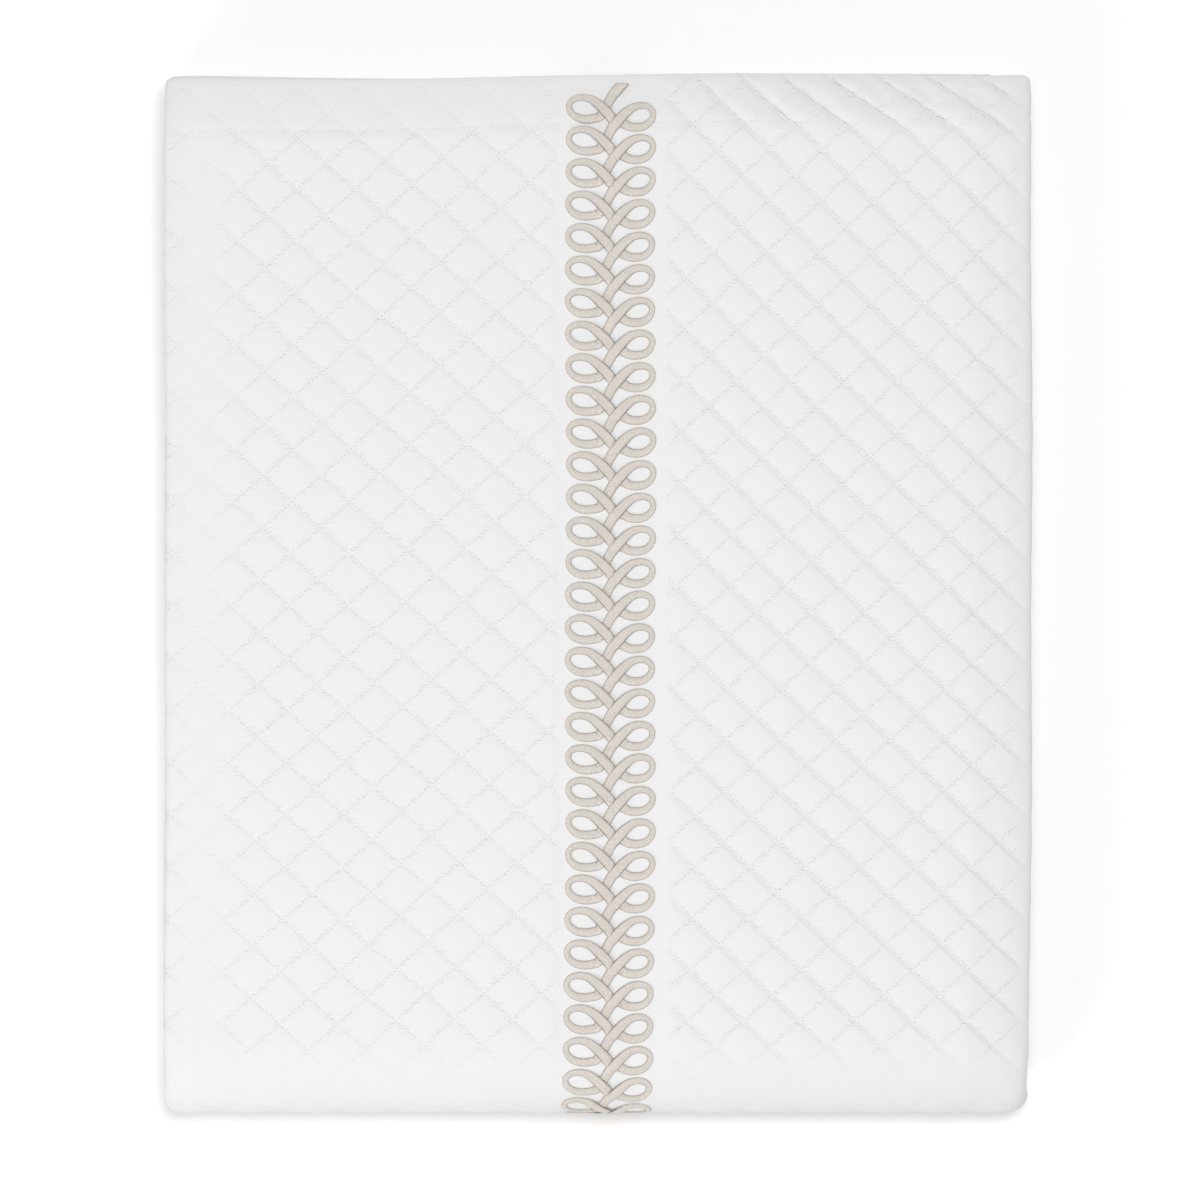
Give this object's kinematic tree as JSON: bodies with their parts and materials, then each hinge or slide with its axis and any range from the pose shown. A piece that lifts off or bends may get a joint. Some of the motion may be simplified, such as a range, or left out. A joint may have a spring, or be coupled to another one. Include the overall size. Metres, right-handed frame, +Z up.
{
  "type": "folded matelasse coverlet",
  "caption": "Quilted cotton coverlet folded into a flat stack, with diamond quilting and a raised looped border down the middle.",
  "frame": {"origin": "middle of the stack's box, on its flat underside", "axes": "+Z up from the surface it lies on, +Y along the longer side towards the hem of the top run, +X across"},
  "size_m": [0.552, 0.6614, 0.0696],
  "materials": {
    "cloth": "matte white quilted cotton",
    "thread": "satin stitch in warm pale grey thread"
  },
  "bodies": {
    "root": {"coverlet": "cloth", "loop_border": "thread"}
  },
  "joints": []
}
